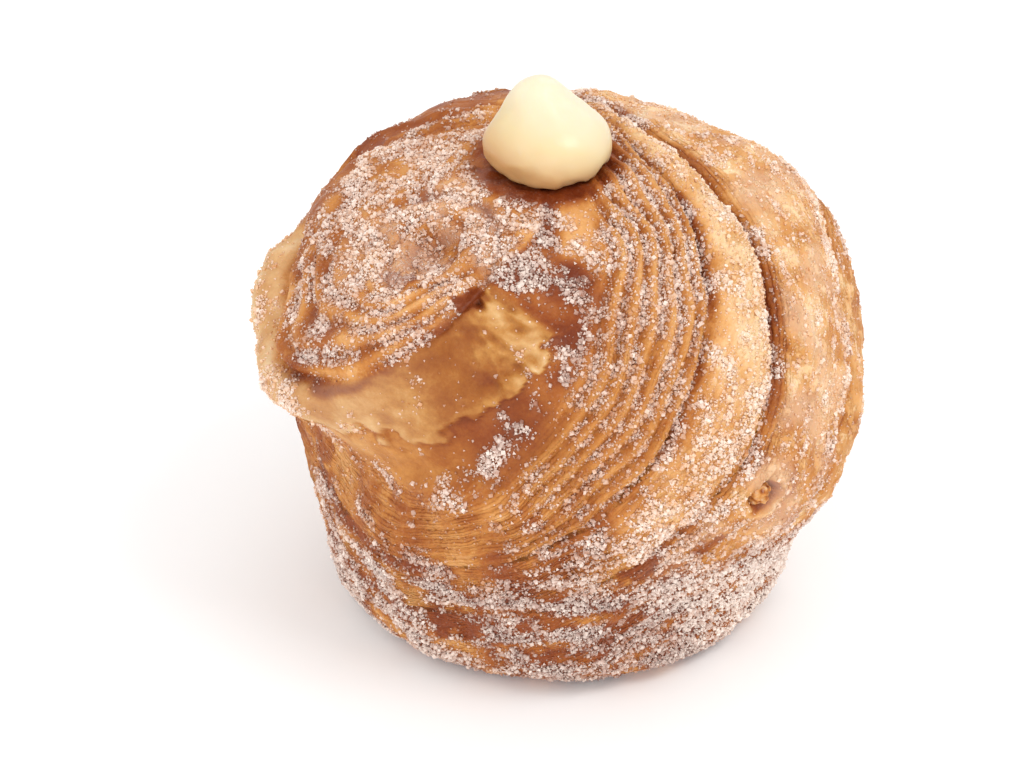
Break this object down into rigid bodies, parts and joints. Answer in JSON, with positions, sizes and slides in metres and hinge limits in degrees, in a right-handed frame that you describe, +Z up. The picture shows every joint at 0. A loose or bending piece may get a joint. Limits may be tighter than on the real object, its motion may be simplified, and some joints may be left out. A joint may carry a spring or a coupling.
{
  "type": "cruffin",
  "caption": "Sugared cruffin: a coiled bun of laminated dough with a swirled knob, flaky ridges, a tapered flat foot and a dollop of pastry cream on top.",
  "frame": {"origin": "on the flat base, below the middle of the crown", "axes": "+Z up through the crown; the coil's knob leans towards -X and -Y, and +X is to the right seen from the front at -Y"},
  "size_m": [0.0871, 0.0834, 0.0821],
  "materials": {
    "crust": "satin, golden-brown laminated crust coated with coarse sugar",
    "cream": "smooth, glossy pale yellow pastry cream",
    "sugar": "clear to white sugar crystals"
  },
  "bodies": {
    "root": {"pastry": "crust", "cream": "cream"}
  },
  "joints": []
}
